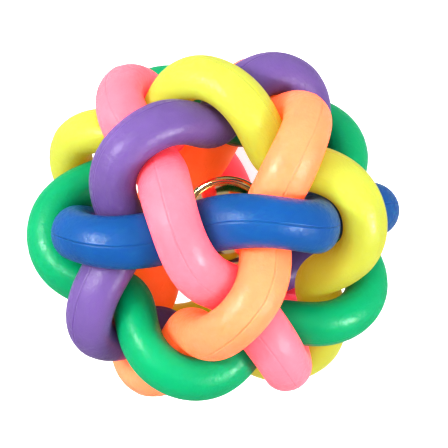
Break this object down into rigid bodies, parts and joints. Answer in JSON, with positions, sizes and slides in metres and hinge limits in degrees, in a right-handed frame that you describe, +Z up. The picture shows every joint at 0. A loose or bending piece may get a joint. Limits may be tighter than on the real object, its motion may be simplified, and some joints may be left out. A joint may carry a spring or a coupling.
{
  "type": "woven ring bell ball",
  "caption": "Hollow ball woven from thick closed rubber rings that pass over and under each other, with a loose jingle bell caught inside.",
  "frame": {"origin": "centre of the ball", "axes": "+Z up through the triangle where the pink, blue and orange rings cross, with the ball standing on the opposite triangle; +X through the crossing of two rings where the ball is widest; +Y completes the right-handed frame"},
  "size_m": [0.09, 0.0854, 0.0854],
  "materials": {
    "blue_rubber": "satin moulded rubber",
    "green_rubber": "satin moulded rubber",
    "yellow_rubber": "satin moulded rubber",
    "orange_rubber": "satin moulded rubber",
    "pink_rubber": "satin moulded rubber",
    "purple_rubber": "satin moulded rubber",
    "bell_gold": "polished plating",
    "pellet_steel": "plain steel"
  },
  "bodies": {
    "blue_ring": {"blue_ring": "blue_rubber"},
    "green_ring": {"green_ring": "green_rubber"},
    "yellow_ring": {"yellow_ring": "yellow_rubber"},
    "orange_ring": {"orange_ring": "orange_rubber"},
    "pink_ring": {"pink_ring": "pink_rubber"},
    "purple_ring": {"purple_ring": "purple_rubber"},
    "bell": {"bell_upper_shell": "bell_gold", "bell_lower_shell": "bell_gold", "bell_loop": "bell_gold"},
    "pellet": {"bell_pellet": "pellet_steel"}
  },
  "joints": [
    {"name": "green_ring_creep", "type": "hinge", "parent": "blue_ring", "child": "green_ring", "pos_m": [0, 0, 0], "axis": [0, 0.6071, 0.7947], "range_deg": [-0.5, 0.5], "stiffness_Nm_per_rad": 0.8},
    {"name": "yellow_ring_creep", "type": "hinge", "parent": "blue_ring", "child": "yellow_ring", "pos_m": [0, 0, 0], "axis": [-0.5257, -0.3035, 0.7947], "range_deg": [-0.5, 0.5], "stiffness_Nm_per_rad": 0.8},
    {"name": "orange_ring_creep", "type": "hinge", "parent": "blue_ring", "child": "orange_ring", "pos_m": [0, 0, 0], "axis": [-0.8507, 0.4911, 0.1876], "range_deg": [-0.5, 0.5], "stiffness_Nm_per_rad": 0.8},
    {"name": "pink_ring_creep", "type": "hinge", "parent": "blue_ring", "child": "pink_ring", "pos_m": [0, 0, 0], "axis": [0.8507, 0.4911, 0.1876], "range_deg": [-0.5, 0.5], "stiffness_Nm_per_rad": 0.8},
    {"name": "purple_ring_creep", "type": "hinge", "parent": "blue_ring", "child": "purple_ring", "pos_m": [0, 0, 0], "axis": [0.5257, -0.3035, 0.7947], "range_deg": [-0.5, 0.5], "stiffness_Nm_per_rad": 0.8},
    {"name": "bell_hop", "type": "slide", "parent": "blue_ring", "child": "bell", "axis": [0, 0, 1], "range_m": [0, 0.0225]},
    {"name": "pellet_hop", "type": "slide", "parent": "bell", "child": "pellet", "axis": [0, 0, 1], "range_m": [0, 0.0115]}
  ]
}
